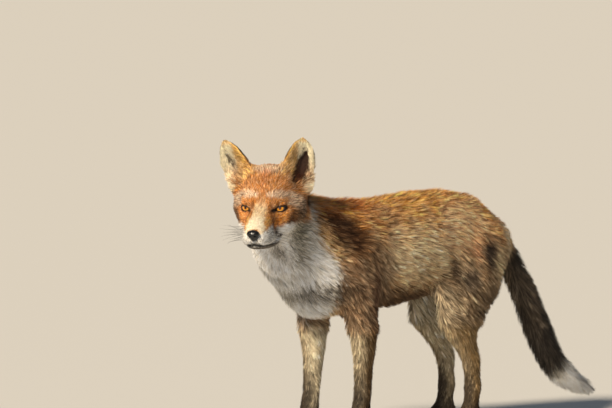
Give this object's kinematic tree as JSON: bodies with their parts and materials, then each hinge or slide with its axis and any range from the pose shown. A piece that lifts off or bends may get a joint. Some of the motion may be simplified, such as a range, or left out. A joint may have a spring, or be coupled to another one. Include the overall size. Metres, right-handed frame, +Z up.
{
  "type": "red fox model",
  "caption": "Life-size still model of a standing red fox, its head turned to the left and its brush hanging to the rear.",
  "frame": {"origin": "centre of the bounding box, on the floor under the soles", "axes": "-Y is the way the body faces, +X is the fox's left, +Z is up"},
  "size_m": [0.1872, 0.8454, 0.4972],
  "materials": {
    "russet_coat": "rufous fur, soft sheen",
    "grizzled_coat": "grizzled buff and grey fur",
    "cream_coat": "white to cream fur",
    "sooty_coat": "short dark brown fur",
    "nose_leather": "moist black nose pad",
    "eye_amber": "clear cornea over an amber iris",
    "claw_horn": "dark horn"
  },
  "bodies": {
    "root": {"head": "russet_coat", "neck": "russet_coat", "trunk": "russet_coat", "ear_left": "russet_coat", "ear_right": "russet_coat", "upper_fore_left": "grizzled_coat", "upper_fore_right": "grizzled_coat", "forearm_left": "grizzled_coat", "forearm_right": "grizzled_coat", "thigh_left": "grizzled_coat", "thigh_right": "grizzled_coat", "shank_left": "grizzled_coat", "shank_right": "grizzled_coat", "tail": "grizzled_coat", "lower_jaw": "cream_coat", "tail_tip": "cream_coat", "forepaw_left": "sooty_coat", "forepaw_right": "sooty_coat", "hindpaw_left": "sooty_coat", "hindpaw_right": "sooty_coat", "nose": "nose_leather", "eye_left": "eye_amber", "eye_right": "eye_amber", "claw_fore_left_1": "claw_horn", "claw_fore_left_2": "claw_horn", "claw_fore_left_3": "claw_horn", "claw_fore_left_4": "claw_horn", "claw_fore_right_1": "claw_horn", "claw_fore_right_2": "claw_horn", "claw_fore_right_3": "claw_horn", "claw_fore_right_4": "claw_horn", "claw_hind_left_1": "claw_horn", "claw_hind_left_2": "claw_horn", "claw_hind_left_3": "claw_horn", "claw_hind_left_4": "claw_horn", "claw_hind_right_1": "claw_horn", "claw_hind_right_2": "claw_horn", "claw_hind_right_3": "claw_horn", "claw_hind_right_4": "claw_horn"}
  },
  "joints": []
}
